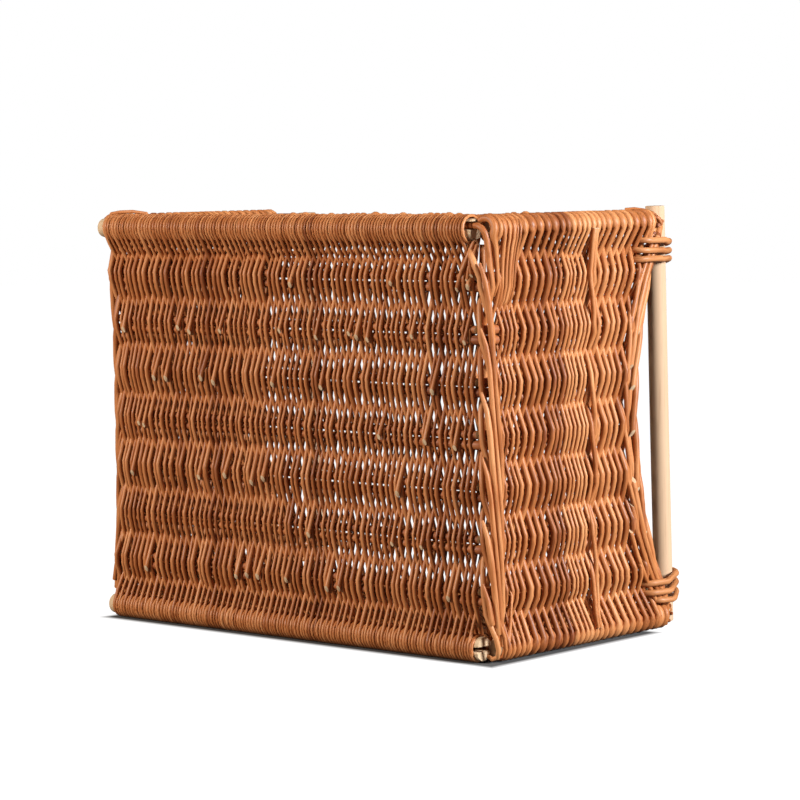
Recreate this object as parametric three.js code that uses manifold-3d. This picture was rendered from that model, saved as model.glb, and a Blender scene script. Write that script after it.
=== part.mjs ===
import * as THREE from 'three';
import { mergeVertices } from 'three/addons/utils/BufferGeometryUtils.js';
import Module from 'manifold-3d';

// A rectangular magazine basket of woven willow, lying on one of its long sides.
// Millimetres. +X runs along the long sides, +Y from the base panel to the open rim, +Z up.
// The base panel stands upright at the front, and the mouth opens to the back.

const wasm = await Module();
wasm.setup();

// The frame, measured between the centres of the sticks along its edges
const frameWidth = 429.4;
const frameHeight = 328;
const frameDepth = 230;

// How much deeper the lower long side is than the upper one, and how far the short sides dip
const rimLean = 8;
const rimDip = 43;

// The wrapped borders and the woven walls
const borderDiameter = 22.6;
const baseWeaver = 2.8;
const sideWeaver = 3.8;
const rimDiameter = 16;
const clearance = 0.3;

// The sticks of the base and the stakes of the sides
const stakeDiameter = 6.8;
const stakePairPitch = 8;
const baseStickCount = 7;
const longStakeCount = 9;
const stakeInsert = 60;
const stakeBend = 11;
const edgeStickInset = 4.7;
const edgeStickStagger = 3;

// The peeled dowel handles and the willow lashings that hold them
const handleDiameter = 16;
const handleInset = 15;
const handleHead = 13.5;
const leftHandleHead = 8;
const handleFoot = 9.5;
const lashingDiameter = 4.7;
const lashingPitch = 7.4;
const lashingTurns = 3;
const lashingDepth = 14;
const lashingEase = 0.4;

// One overrun serves every cut
const overrun = 5;

const stickSides = 8;
const borderSides = 16;
const rimSides = 12;
const rimSteps = 16;
const bendSteps = 4;
const cornerSides = 32;
const hollowSteps = 6;
const lashingSides = 6;
const lashingSteps = 24;

// Sizes that follow from the ones above
const borderRadius = borderDiameter / 2;
const edgeStickRadius = borderRadius - baseWeaver;
const postRadius = borderRadius - sideWeaver;
const stakeRadius = stakeDiameter / 2;
const rimRadius = rimDiameter / 2;
const handleRadius = handleDiameter / 2;
const lashingRadius = lashingDiameter / 2;
const baseWall = stakeDiameter + 2 * baseWeaver;
const sideWall = stakeDiameter + 2 * sideWeaver;
const sidePlane = frameWidth / 2;
const lowLevel = borderRadius;
const highLevel = borderRadius + frameHeight;
const middleLevel = borderRadius + frameHeight / 2;
const rollEnd = sidePlane - borderRadius - clearance;
const postStart = edgeStickRadius + clearance;
const wallEnd = sidePlane - sideWall / 2 - clearance;

const willow = { color: 0xb8733f, roughness: 0.55, metalness: 0 };
const stakeWillow = { color: 0xa9683a, roughness: 0.6, metalness: 0 };
const rimWillow = { color: 0xc07c46, roughness: 0.55, metalness: 0 };
const lashingWillow = { color: 0xc98a50, roughness: 0.5, metalness: 0 };
const cutWood = { color: 0xcdb88f, roughness: 0.75, metalness: 0 };
const peeledWood = { color: 0xdccbb0, roughness: 0.6, metalness: 0 };

// The axes of each woven wall: across its stakes, out of its face and along its stakes
const alongX = new THREE.Vector3(1, 0, 0);
const alongY = new THREE.Vector3(0, 1, 0);
const alongZ = new THREE.Vector3(0, 0, 1);
const baseAxes = [alongZ, alongY.clone().negate(), alongX];
const sideAxes = [alongZ, alongX, alongY];
const longAxes = [alongX, alongZ.clone().negate(), alongY];

const basket = new THREE.Group();

function addPiece(name, geometry, look) {
  const mesh = new THREE.Mesh(geometry, new THREE.MeshStandardMaterial(look));
  mesh.name = name;
  basket.add(mesh);
}

// Where a level lies between the lower border, at -1, and the upper border, at 1
function levelShare(z) {
  return (z - middleLevel) / (frameHeight / 2);
}

// Depth of the rim's centre line on the long sides and at the corners
function straightRim(z) {
  return frameDepth - (rimLean / 2) * levelShare(z);
}

// Depth of the rim's centre line on a short side, which dips between the corners
function dippedRim(z) {
  const share = levelShare(z);
  return straightRim(z) - rimDip * (1 - share * share);
}

function rimSlope(z) {
  return (2 * rimDip * levelShare(z) - rimLean / 2) / (frameHeight / 2);
}

// A regular polygon whose flats lie at the stated radius
function roundSection(radius, sides) {
  const points = [];
  const cornerRadius = radius / Math.cos(Math.PI / sides);
  for (let i = 0; i < sides; i++) {
    const angle = (2 * Math.PI * (i + 0.5)) / sides;
    points.push(new THREE.Vector2(cornerRadius * Math.cos(angle), cornerRadius * Math.sin(angle)));
  }
  return new THREE.Shape(points);
}

// A straight round bar between two points, with its flats at the stated radius
function bar(radius, start, end, sides) {
  const span = new THREE.Vector3().subVectors(end, start);
  const cornerRadius = radius / Math.cos(Math.PI / sides);
  const turn = Math.PI / sides;
  const length = span.length();
  const geometry = new THREE.CylinderGeometry(cornerRadius, cornerRadius, length, sides, 1, false, turn);
  const up = new THREE.Vector3(0, 1, 0);
  geometry.applyQuaternion(new THREE.Quaternion().setFromUnitVectors(up, span.clone().normalize()));
  const middle = new THREE.Vector3().addVectors(start, end).multiplyScalar(0.5);
  return geometry.translate(middle.x, middle.y, middle.z);
}

// A curve through knots, with one step of a tube between each knot and the next
class KnotCurve extends THREE.Curve {
  constructor(knots) {
    super();
    this.knots = knots;
  }

  getPoint(t, target = new THREE.Vector3()) {
    const place = t * (this.knots.length - 1);
    const index = Math.min(Math.floor(place), this.knots.length - 2);
    return target.lerpVectors(this.knots[index], this.knots[index + 1], place - index);
  }

  getPointAt(u, target) {
    return this.getPoint(u, target);
  }

  getTangentAt(u, target = new THREE.Vector3()) {
    const index = Math.round(u * (this.knots.length - 1));
    const here = this.knots[index];
    const before = this.knots[Math.max(index - 1, 0)];
    const after = this.knots[Math.min(index + 1, this.knots.length - 1)];
    const arriving = new THREE.Vector3().subVectors(here, before).normalize();
    const leaving = new THREE.Vector3().subVectors(after, here).normalize();
    return target.addVectors(arriving, leaving).normalize();
  }
}

function tube(radius, knots, sides) {
  const options = { steps: knots.length - 1, bevelEnabled: false, extrudePath: new KnotCurve(knots) };
  return new THREE.ExtrudeGeometry(roundSection(radius, sides), options);
}

function block(low, high) {
  const size = new THREE.Vector3().subVectors(high, low);
  const middle = new THREE.Vector3().addVectors(low, high).multiplyScalar(0.5);
  return new THREE.BoxGeometry(size.x, size.y, size.z).translate(middle.x, middle.y, middle.z);
}

function toSolid(geometry) {
  const bare = geometry.clone();
  bare.deleteAttribute('normal');
  bare.deleteAttribute('uv');
  const merged = mergeVertices(bare);
  const vertProperties = Float32Array.from(merged.attributes.position.array);
  const triVerts = Uint32Array.from(merged.index.array);
  return new wasm.Manifold(new wasm.Mesh({ numProp: 3, vertProperties, triVerts }));
}

function toGeometry(solid) {
  const mesh = solid.getMesh();
  const geometry = new THREE.BufferGeometry();
  geometry.setAttribute('position', new THREE.BufferAttribute(mesh.vertProperties, 3));
  geometry.setIndex(new THREE.BufferAttribute(mesh.triVerts, 1));
  geometry.computeVertexNormals();
  return geometry;
}

function join(geometries) {
  return geometries.map(toSolid).reduce((whole, solid) => whole.add(solid));
}

function cut(body, cutters) {
  return toGeometry(body.subtract(join(cutters)));
}

// Levels of the base sticks, counted up from the lower border
function stickLevel(index) {
  return lowLevel + (frameHeight * (index + 1)) / (baseStickCount + 1);
}

// A base stick and the side stake beside it lie half a pair's pitch above and below the level
function baseStickHeight(index) {
  return stickLevel(index) + stakePairPitch / 2;
}

function sideStakeHeight(index) {
  return stickLevel(index) - stakePairPitch / 2;
}

function longStakePlace(index) {
  return -sidePlane + (frameWidth * (index + 1)) / (longStakeCount + 1);
}

// How far from its centre line, along the depth, the slanted rim of a short side reaches at a level
function rimReach(z, radius) {
  return radius * Math.hypot(1, rimSlope(z));
}

// A side stake starts beside a base stick, turns the corner and runs back to the rim
function sideStakeKnots(side, index, growth) {
  const z = sideStakeHeight(index);
  const turnStart = sidePlane - stakeBend;
  const end = dippedRim(z) - rimReach(z, rimRadius + clearance) - Math.abs(rimSlope(z)) * stakeDiameter;
  const knots = [new THREE.Vector3(side * (turnStart - stakeInsert - growth), 0, z)];
  for (let i = 0; i <= bendSteps; i++) {
    const angle = (Math.PI / 2) * (i / bendSteps);
    const x = turnStart + stakeBend * Math.sin(angle);
    const y = stakeBend * (1 - Math.cos(angle));
    knots.push(new THREE.Vector3(side * x, y, z));
  }
  knots.push(new THREE.Vector3(side * sidePlane, end + growth, z));
  return knots;
}

function edgeStickBar(radius, z, shift, growth) {
  const reach = sidePlane - edgeStickInset + growth;
  const start = new THREE.Vector3(shift - reach, 0, z);
  const end = new THREE.Vector3(shift + reach, 0, z);
  return bar(radius, start, end, borderSides);
}

function baseStickBar(radius, index, growth) {
  const reach = sidePlane - sideWall / 2 - clearance + growth;
  const z = baseStickHeight(index);
  return bar(radius, new THREE.Vector3(-reach, 0, z), new THREE.Vector3(reach, 0, z), stickSides);
}

// A long side's stake butts against the base's edge stick and ends at the rim
function longStakeBar(radius, index, z, growth) {
  const x = longStakePlace(index);
  const start = new THREE.Vector3(x, postStart - growth, z);
  const end = new THREE.Vector3(x, straightRim(z) - rimRadius - clearance + growth, z);
  return bar(radius, start, end, stickSides);
}

function postBar(radius, side, z, growth) {
  const x = side * sidePlane;
  const start = new THREE.Vector3(x, postStart - growth, z);
  const end = new THREE.Vector3(x, straightRim(z) + rimRadius + growth, z);
  return bar(radius, start, end, borderSides);
}

function sideRimTube(radius, side) {
  const knots = [];
  for (let i = 0; i <= rimSteps; i++) {
    const z = lowLevel + (frameHeight * i) / rimSteps;
    knots.push(new THREE.Vector3(side * sidePlane, dippedRim(z), z));
  }
  return tube(radius, knots, rimSides);
}

// The two ends of a long side's rim stop at the wrapped corner posts
function longRimBar(radius, z) {
  const y = straightRim(z);
  return bar(radius, new THREE.Vector3(-rollEnd, y, z), new THREE.Vector3(rollEnd, y, z), rimSides);
}

function handleDepth(z) {
  return straightRim(z) + rimRadius + clearance + handleRadius;
}

// The passage through a short side's weave that the turns of a lashing share
const lashingReach = lashingRadius / Math.cos(Math.PI / lashingSides);
const turnRadius = sideWall / 2 + lashingReach + lashingEase;

// The first and last pass of a lashing lie just inside a border, at the upper or lower end
function lashingLevel(end, turn) {
  const border = end > 0 ? highLevel : lowLevel;
  return border - end * (borderRadius + clearance + lashingReach + lashingPitch * turn);
}

function lashingTurnCentre(end) {
  return dippedRim(lashingLevel(end, (lashingTurns - 1) / 2)) - lashingDepth;
}

// A taut loop round three circles: the passage in the weave, the rim and the handle
function lashingKnots(side, end) {
  const passage = { x: sidePlane, y: lashingTurnCentre(end), radius: turnRadius };
  const knots = [];
  const first = Math.ceil(lashingSteps / 2);
  const last = first + lashingTurns * lashingSteps;
  for (let i = first; i <= last; i++) {
    const angle = (2 * Math.PI * (i + 0.5)) / lashingSteps;
    const fullTurns = Math.floor(i / lashingSteps);
    const climb = Math.min((2 * (i % lashingSteps)) / lashingSteps, 1);
    const z = lashingLevel(end, fullTurns - 1 + climb);
    const rimRing = rimReach(z, rimRadius) + lashingReach + lashingEase;
    const rim = { x: sidePlane, y: dippedRim(z), radius: rimRing };
    const handleX = sidePlane - handleInset;
    const handle = { x: handleX, y: handleDepth(z), radius: handleRadius + lashingReach + lashingEase };
    let farthest = passage;
    for (const circle of [rim, handle]) {
      if (reachAlong(circle, angle) > reachAlong(farthest, angle)) {
        farthest = circle;
      }
    }
    const x = farthest.x + farthest.radius * Math.cos(angle);
    const y = farthest.y + farthest.radius * Math.sin(angle);
    knots.push(new THREE.Vector3(side * x, y, z));
  }
  return knots;
}

function reachAlong(circle, angle) {
  return circle.x * Math.cos(angle) + circle.y * Math.sin(angle) + circle.radius;
}

// Least distance between a lashing's surface and itself, measured on points along it
function leastSelfGap(knots, diameter) {
  const points = [];
  const places = [];
  let travelled = 0;
  for (let i = 1; i < knots.length; i++) {
    const length = knots[i].distanceTo(knots[i - 1]);
    const parts = Math.ceil((2 * length) / diameter);
    for (let j = 0; j < parts; j++) {
      points.push(new THREE.Vector3().lerpVectors(knots[i - 1], knots[i], j / parts));
      places.push(travelled + (length * j) / parts);
    }
    travelled += length;
  }
  let least = Infinity;
  for (let i = 0; i < points.length; i++) {
    for (let j = i + 1; j < points.length; j++) {
      if (places[j] - places[i] > 3 * diameter) {
        least = Math.min(least, points[i].distanceTo(points[j]) - diameter);
      }
    }
  }
  return least;
}

// The open stretches between the stakes of a wall, which rise a little way to either side of each place
function openStretches(places, rise, start, end) {
  const edges = [start];
  for (const place of places) {
    edges.push(place - rise, place + rise);
  }
  edges.push(end);
  const stretches = [];
  for (let i = 0; i < edges.length; i += 2) {
    stretches.push({ start: edges[i], end: edges[i + 1] });
  }
  return stretches;
}

// Section of the hollow between two stakes, with the wall's face at zero
function hollowSection(width, depth) {
  const points = [];
  for (let i = 0; i <= hollowSteps; i++) {
    const share = i / hollowSteps;
    points.push(new THREE.Vector2(width * (share - 1 / 2), -depth * Math.sin(Math.PI * share)));
  }
  points.push(new THREE.Vector2(width / 2, overrun));
  points.push(new THREE.Vector2(-width / 2, overrun));
  return new THREE.Shape(points);
}

// Between two stakes the weavers cross side by side, which leaves the wall one weaver thick there.
// The origin lies in the wall's middle plane, where the two hollows start, halfway between the stakes
function hollows(axes, origin, width, length, wall, weaver) {
  const [across, face, along] = axes;
  const section = hollowSection(width, wall / 2 - weaver / 2);
  return [-1, 1].map((way) => {
    const turnedAcross = across.clone().multiplyScalar(way);
    const turnedFace = face.clone().multiplyScalar(way);
    const geometry = new THREE.ExtrudeGeometry(section, { depth: length, bevelEnabled: false });
    geometry.applyMatrix4(new THREE.Matrix4().makeBasis(turnedAcross, turnedFace, along));
    const place = origin.clone().addScaledVector(turnedFace, wall / 2);
    return geometry.translate(place.x, place.y, place.z);
  });
}

// The stretches between the pairs of stakes, from the edge of one border to the edge of the other
function pairStretches() {
  const levels = [];
  for (let i = 0; i < baseStickCount; i++) {
    levels.push(stickLevel(i));
  }
  const rise = stakePairPitch / 2 + stakeRadius / 2;
  return openStretches(levels, rise, lowLevel + borderRadius, highLevel - borderRadius);
}

// Base panel: a woven wall between two wrapped borders, bored for its sticks and stakes
function baseWeave() {
  const wallLow = new THREE.Vector3(-wallEnd, -baseWall / 2, lowLevel);
  const wallHigh = new THREE.Vector3(wallEnd, baseWall / 2, highLevel);
  const parts = [block(wallLow, wallHigh)];
  const cutters = [];
  for (const z of [lowLevel, highLevel]) {
    const start = new THREE.Vector3(-rollEnd, 0, z);
    const end = new THREE.Vector3(rollEnd, 0, z);
    parts.push(bar(borderRadius, start, end, borderSides));
    cutters.push(edgeStickBar(edgeStickRadius + clearance, z, 0, overrun));
    for (let i = 0; i < longStakeCount; i++) {
      cutters.push(longStakeBar(stakeRadius + clearance, i, z, overrun));
    }
  }
  for (let i = 0; i < baseStickCount; i++) {
    cutters.push(baseStickBar(stakeRadius + clearance, i, overrun));
    for (const side of [-1, 1]) {
      cutters.push(tube(stakeRadius + clearance, sideStakeKnots(side, i, clearance), stickSides));
    }
  }
  for (const { start, end } of pairStretches()) {
    const origin = new THREE.Vector3(-rollEnd, 0, (start + end) / 2);
    cutters.push(...hollows(baseAxes, origin, end - start, 2 * rollEnd, baseWall, baseWeaver));
  }
  return cut(join(parts), cutters);
}

// Outline of a short side's wall from the base to the rim, seen along X
function sideWallOutline() {
  const notch = edgeStickRadius + clearance;
  const points = [
    new THREE.Vector2(-baseWall / 2, highLevel - notch),
    new THREE.Vector2(-baseWall / 2, lowLevel + notch),
    new THREE.Vector2(postStart, lowLevel + notch),
    new THREE.Vector2(postStart, lowLevel),
  ];
  for (let i = 0; i <= rimSteps; i++) {
    const z = lowLevel + (frameHeight * i) / rimSteps;
    points.push(new THREE.Vector2(dippedRim(z), z));
  }
  points.push(new THREE.Vector2(postStart, highLevel));
  points.push(new THREE.Vector2(postStart, highLevel - notch));
  return new THREE.Shape(points);
}

// What rounds the corner between the base and a short side, on the centre of its stakes' bend
function cornerCutter(side) {
  const x = side * (sidePlane - stakeBend);
  const outside = side * (sidePlane + sideWall);
  const low = new THREE.Vector3(Math.min(x, outside), -sideWall, lowLevel + edgeStickRadius);
  const high = new THREE.Vector3(Math.max(x, outside), stakeBend, highLevel - edgeStickRadius);
  const start = new THREE.Vector3(x, stakeBend, lowLevel);
  const end = new THREE.Vector3(x, stakeBend, highLevel);
  const round = bar(stakeBend + sideWall / 2, start, end, cornerSides);
  return toGeometry(toSolid(block(low, high)).subtract(toSolid(round)));
}

// The hollows of a short side start past its corner strands and stop short of the dipped rim
function sideHollows(side) {
  const cutters = [];
  const depthStart = stakeBend + stakeRadius;
  for (const { start, end } of pairStretches()) {
    const depthEnd = Math.min(dippedRim(start), dippedRim(end)) - rimDiameter;
    const origin = new THREE.Vector3(side * sidePlane, depthStart, (start + end) / 2);
    cutters.push(...hollows(sideAxes, origin, end - start, depthEnd - depthStart, sideWall, sideWeaver));
  }
  return cutters;
}

// Short side: a woven wall with a dipped edge between two wrapped corner posts
function sideWeave(side) {
  const wall = new THREE.ExtrudeGeometry(sideWallOutline(), { depth: sideWall, bevelEnabled: false });
  wall.applyMatrix4(new THREE.Matrix4().makeBasis(alongY, alongZ, alongX));
  wall.translate(side * sidePlane - sideWall / 2, 0, 0);
  const parts = [wall];
  const cutters = [sideRimTube(rimRadius + clearance, side), cornerCutter(side), ...sideHollows(side)];
  for (const end of [-1, 1]) {
    const z = end > 0 ? highLevel : lowLevel;
    parts.push(postBar(borderRadius, side, z, 0));
    cutters.push(postBar(postRadius + clearance, side, z, overrun));
    cutters.push(lashingPassage(side, end));
  }
  for (let i = 0; i < baseStickCount; i++) {
    cutters.push(tube(stakeRadius + clearance, sideStakeKnots(side, i, rimRadius), stickSides));
  }
  return cut(join(parts), cutters);
}

function lashingPassage(side, end) {
  const levels = [lashingLevel(end, 0), lashingLevel(end, lashingTurns - 1)];
  const bottom = Math.min(...levels) - lashingReach - clearance;
  const top = Math.max(...levels) + lashingReach + clearance;
  const back = lashingTurnCentre(end);
  const front = back - turnRadius - lashingReach - clearance;
  const halfWall = sideWall / 2 + overrun;
  const x = side * sidePlane;
  return block(new THREE.Vector3(x - halfWall, front, bottom), new THREE.Vector3(x + halfWall, back, top));
}

// Long side: a woven wall set between the base's border, the posts and the rim
function longWeave(z) {
  const low = new THREE.Vector3(-rollEnd, borderRadius + clearance, z - sideWall / 2);
  const high = new THREE.Vector3(rollEnd, straightRim(z) - rimRadius - clearance, z + sideWall / 2);
  const cutters = [];
  const places = [];
  for (let i = 0; i < longStakeCount; i++) {
    cutters.push(longStakeBar(stakeRadius + clearance, i, z, overrun));
    places.push(longStakePlace(i));
  }
  const reach = rollEnd - sideWeaver;
  for (const { start, end } of openStretches(places, stakeRadius / 2, -reach, reach)) {
    const origin = new THREE.Vector3((start + end) / 2, low.y + sideWeaver, z);
    const length = high.y - low.y - 2 * sideWeaver;
    cutters.push(...hollows(longAxes, origin, end - start, length, sideWall, sideWeaver));
  }
  return cut(toSolid(block(low, high)), cutters);
}

// Short side's rim: a dipped roll of laid-down stakes that ends at the wrapped corner posts
function sideRim(side) {
  const cutters = [lowLevel, highLevel].map((z) => postBar(borderRadius + clearance, side, z, overrun));
  return cut(toSolid(sideRimTube(rimRadius, side)), cutters);
}

function handle(side) {
  const x = side * (sidePlane - handleInset);
  const bottom = lowLevel - handleFoot;
  const top = highLevel + (side > 0 ? handleHead : leftHandleHead);
  const start = new THREE.Vector3(x, handleDepth(bottom), bottom);
  const end = new THREE.Vector3(x, handleDepth(top), top);
  return bar(handleRadius, start, end, borderSides);
}

addPiece('base_weave', baseWeave(), willow);
for (const [label, z, lean] of [['lower', lowLevel, 1], ['upper', highLevel, -1]]) {
  const edgeStick = edgeStickBar(edgeStickRadius, z, lean * edgeStickStagger, 0);
  addPiece(`base_edge_stick_${label}`, edgeStick, cutWood);
  addPiece(`long_side_weave_${label}`, longWeave(z), willow);
  addPiece(`long_rim_border_${label}`, longRimBar(rimRadius, z), rimWillow);
  for (let i = 0; i < longStakeCount; i++) {
    addPiece(`long_side_stake_${label}_${i + 1}`, longStakeBar(stakeRadius, i, z, 0), stakeWillow);
  }
}
for (let i = 0; i < baseStickCount; i++) {
  addPiece(`base_stick_${i + 1}`, baseStickBar(stakeRadius, i, 0), stakeWillow);
}
for (const [label, side] of [['left', -1], ['right', 1]]) {
  addPiece(`short_side_weave_${label}`, sideWeave(side), willow);
  addPiece(`short_rim_border_${label}`, sideRim(side), rimWillow);
  addPiece(`handle_dowel_${label}`, handle(side), peeledWood);
  for (let i = 0; i < baseStickCount; i++) {
    const stake = tube(stakeRadius, sideStakeKnots(side, i, 0), stickSides);
    addPiece(`side_stake_${label}_${i + 1}`, stake, stakeWillow);
  }
  for (const [height, end] of [['lower', -1], ['upper', 1]]) {
    const z = end > 0 ? highLevel : lowLevel;
    const knots = lashingKnots(side, end);
    addPiece(`corner_post_${height}_${label}`, postBar(postRadius, side, z, 0), stakeWillow);
    addPiece(`lashing_${height}_${label}`, tube(lashingRadius, knots, lashingSides), lashingWillow);
    const gap = leastSelfGap(knots, 2 * lashingReach);
    console.log(`lashing ${height} ${label}: least gap to itself ${gap.toFixed(2)} mm`);
  }
}

// The origin is the middle of the part's footprint, on the surface that it lies on
const bounds = new THREE.Box3().setFromObject(basket, true);
const middle = bounds.getCenter(new THREE.Vector3());
basket.position.set(-middle.x, -middle.y, -bounds.min.z);

export default basket;
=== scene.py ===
import math
import random

import bmesh
import bpy
import numpy as np
from mathutils import Matrix, Vector


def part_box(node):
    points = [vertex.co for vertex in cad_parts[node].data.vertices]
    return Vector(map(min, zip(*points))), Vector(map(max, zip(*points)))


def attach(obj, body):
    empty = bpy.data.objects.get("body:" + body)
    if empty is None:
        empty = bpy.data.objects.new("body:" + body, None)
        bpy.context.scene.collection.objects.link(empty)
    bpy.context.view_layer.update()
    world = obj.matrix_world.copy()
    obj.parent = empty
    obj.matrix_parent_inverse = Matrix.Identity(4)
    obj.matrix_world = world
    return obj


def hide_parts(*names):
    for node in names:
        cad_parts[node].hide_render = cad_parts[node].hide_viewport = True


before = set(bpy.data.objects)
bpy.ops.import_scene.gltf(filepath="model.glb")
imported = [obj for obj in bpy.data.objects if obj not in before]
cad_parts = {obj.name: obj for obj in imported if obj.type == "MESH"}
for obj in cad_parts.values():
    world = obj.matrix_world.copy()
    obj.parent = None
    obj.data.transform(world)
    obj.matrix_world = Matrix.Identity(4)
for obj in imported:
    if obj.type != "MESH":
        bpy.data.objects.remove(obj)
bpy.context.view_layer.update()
print("frame loaded")

# Millimetres from here on. x runs along the basket, y from the base panel to the mouth, z up
mm = 0.001


def middleOf(node):
    low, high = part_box(node)
    return (Vector(low) + Vector(high)) / (2 * mm)


basePlane = middleOf("base_edge_stick_lower").y
basket = {
    "low": middleOf("base_edge_stick_lower").z,    # the sticks along the lower long edge
    "high": middleOf("base_edge_stick_upper").z,
    "side": middleOf("corner_post_lower_right").x,  # the posts along the short sides
    "depth": 230, "rimLean": 8, "rimDip": 43, "rimRadius": 8,  # depth: from the base to the rim
    "pairs": 7, "pairHalf": 4.0, "longStakes": 9,  # the stakes of a short side stand in pairs
    "stakeRadius": 3.4, "edgeStickRadius": 8.5, "postRadius": 7.5,
    "borderWrap": (11.2, 12.0),  # how far out the turns lie at the low and the high border
    "stakeInsert": 60, "stakeBend": 11, "clearance": 0.3,
}
low, high, side = basket["low"], basket["high"], basket["side"]
pairHalf, bend, stakeRadius = basket["pairHalf"], basket["stakeBend"], basket["stakeRadius"]
shortSides, longSides = (("right", 1), ("left", -1)), (("upper", 1), ("lower", -1))
pairLevels = [low + (high - low) * (k + 1) / (basket["pairs"] + 1) for k in range(basket["pairs"])]
longPlaces = [-side + 2 * side * (k + 1) / (basket["longStakes"] + 1) for k in range(basket["longStakes"])]


def levelShare(z):
    return (z - (low + high) / 2) / ((high - low) / 2)


def straightRim(z):
    return basket["depth"] - basket["rimLean"] / 2 * levelShare(z)


def dippedRim(z):
    return straightRim(z) - basket["rimDip"] * (1 - levelShare(z) ** 2)


def clamp(value, least, most):
    return min(most, max(least, value))


def mix(a, b, share):
    return a + (b - a) * share


def numbered(name, count):
    return [f"{name}_{k + 1}" for k in range(count)]


def circle(count):
    return [2 * math.pi * i / count for i in range(count)]


def newObject(name, data):
    item = bpy.data.objects.new(name, data)
    bpy.context.collection.objects.link(item)
    return item


def inBetween(points, parts):
    # the same path with more points on it, set evenly between
    points = [Vector(p) for p in points]
    return [a.lerp(b, i / parts) for a, b in zip(points, points[1:]) for i in range(parts)] + [points[-1]]


# Strands: a list of points with a radius at each, turned into a tube
def strand(points, radii, rng, tone=None, loop=False, cuts=(), pale=1):
    if isinstance(radii, (int, float)):
        radii = [radii] * len(points)
    tone = rng.gauss(0.58, 0.13) if tone is None else tone
    return {"points": [Vector(p) for p in points], "radii": list(radii), "loop": loop,
            "tone": clamp(tone, 0, 1), "seed": rng.random(), "cuts": cuts, "pale": pale}


def squaredEnds(item):
    # a short last step at each open end, so that the cut face keeps its own colour
    if item["loop"]:
        return item
    points, radii = item["points"], item["radii"]
    for end in (0, -1):
        inner = 1 if end == 0 else -2
        step = (points[inner] - points[end]).normalized() * 0.35
        spot = len(points) - 1 if end else 1
        points.insert(spot, points[end] + step)
        radii.insert(spot, radii[end])
        radii[end] *= 0.93  # a hair of a chamfer
    return item


def makeStrands(name, strands, material, nodes=(), sides=8):
    strands = [squaredEnds(s) for s in strands]
    curve = bpy.data.curves.new(name + "_path", "CURVE")
    curve.dimensions = "3D"
    curve.bevel_depth = mm
    curve.bevel_resolution = sides // 2 - 2
    for item in strands:
        spline = curve.splines.new("POLY")
        spline.points.add(len(item["points"]) - 1)
        flat = []
        for p in item["points"]:
            flat += [p.x * mm, (p.y + basePlane) * mm, p.z * mm, 1]
        spline.points.foreach_set("co", flat)
        spline.points.foreach_set("radius", item["radii"])
        spline.use_cyclic_u = item["loop"]
    path = newObject(name + "_path", curve)
    ready = path.evaluated_get(bpy.context.evaluated_depsgraph_get())
    mesh = bpy.data.meshes.new_from_object(ready)
    bpy.data.objects.remove(path)
    mesh.name = name
    dressStrands(mesh, strands, sides)
    return finishPiece(name, mesh, material, nodes)


def writeLook(mesh, place, tones, cut):
    # what the willow materials read at each point
    for name, kind, field, values in (("strandPlace", "FLOAT_VECTOR", "vector", place),
                                      ("strandTone", "FLOAT", "value", tones), ("cutEnd", "FLOAT", "value", cut)):
        mesh.attributes.new(name, kind, "POINT").data.foreach_set(field, values.ravel())


def dressStrands(mesh, strands, sides):
    # writes each point's place along and round its strand, the strand's tone and its cut ends
    total = sum(len(s["points"]) for s in strands) * sides
    if len(mesh.vertices) != total:
        raise ValueError(f"{mesh.name}: {len(mesh.vertices)} points where {total} were expected")
    spots = np.zeros(total * 3)
    mesh.vertices.foreach_get("co", spots)
    spots = spots.reshape(-1, 3)
    place, tones, cut = np.zeros((total, 3)), np.zeros(total), np.zeros(total)
    angle = np.arange(sides) * 2 * math.pi / sides
    at = 0
    for item in strands:
        count = len(item["points"])
        path = np.array([list(p) for p in item["points"]])
        along = np.concatenate([[0], np.cumsum(np.linalg.norm(np.diff(path, axis=0), axis=1))])
        radius = np.repeat(item["radii"], sides)
        seed = item["seed"]
        rows = slice(at, at + count * sides)
        place[rows, 0] = radius * np.tile(np.cos(angle), count) + seed * 500
        place[rows, 1] = radius * np.tile(np.sin(angle), count)
        place[rows, 2] = np.repeat(along, sides) + seed * 900
        tones[rows] = item["tone"]
        if not item["loop"]:
            cut[at:at + sides] = item["pale"]
            cut[at + (count - 1) * sides:at + count * sides] = item["pale"]
        for end, facing, slope in item["cuts"]:  # a slanting cut that faces outwards
            ring = 0 if end == 0 else count - 1
            centre = np.array(list(item["points"][ring])) * mm + np.array([0, basePlane * mm, 0])
            step = item["points"][ring] - item["points"][2 if end == 0 else -3]
            step = np.array(list(step.normalized()))
            for r in ((0, 1) if end == 0 else (count - 1, count - 2)):
                part = slice(at + r * sides, at + (r + 1) * sides)
                lean = (spots[part] - centre) @ np.array(facing)
                spots[part] -= np.outer(lean * slope, step)
        at += count * sides
    mesh.vertices.foreach_set("co", spots.ravel())
    writeLook(mesh, place * mm, tones, cut)
    bm = bmesh.new()
    bm.from_mesh(mesh)
    bmesh.ops.holes_fill(bm, edges=[e for e in bm.edges if e.is_boundary], sides=0)
    bmesh.ops.recalc_face_normals(bm, faces=bm.faces)
    bm.to_mesh(mesh)
    bm.free()


def finishPiece(name, mesh, material, nodes=(), sharp=58):
    mesh.polygons.foreach_set("use_smooth", [True] * len(mesh.polygons))
    mesh.set_sharp_from_angle(angle=math.radians(sharp))
    mesh.materials.append(material)
    piece = newObject(name, mesh)
    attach(piece, "root")
    if nodes:
        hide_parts(*nodes)
    triangles = sum(len(p.vertices) - 2 for p in mesh.polygons)
    print(f"{name}: {triangles} triangles")
    return piece


# Shader nodes: an input takes a value or another node's output
def fillInputs(tree, node, inputs):
    for label, value in inputs.items():
        if isinstance(value, bpy.types.NodeSocket):
            tree.links.new(value, node.inputs[label])
        else:
            node.inputs[label].default_value = value


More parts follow.
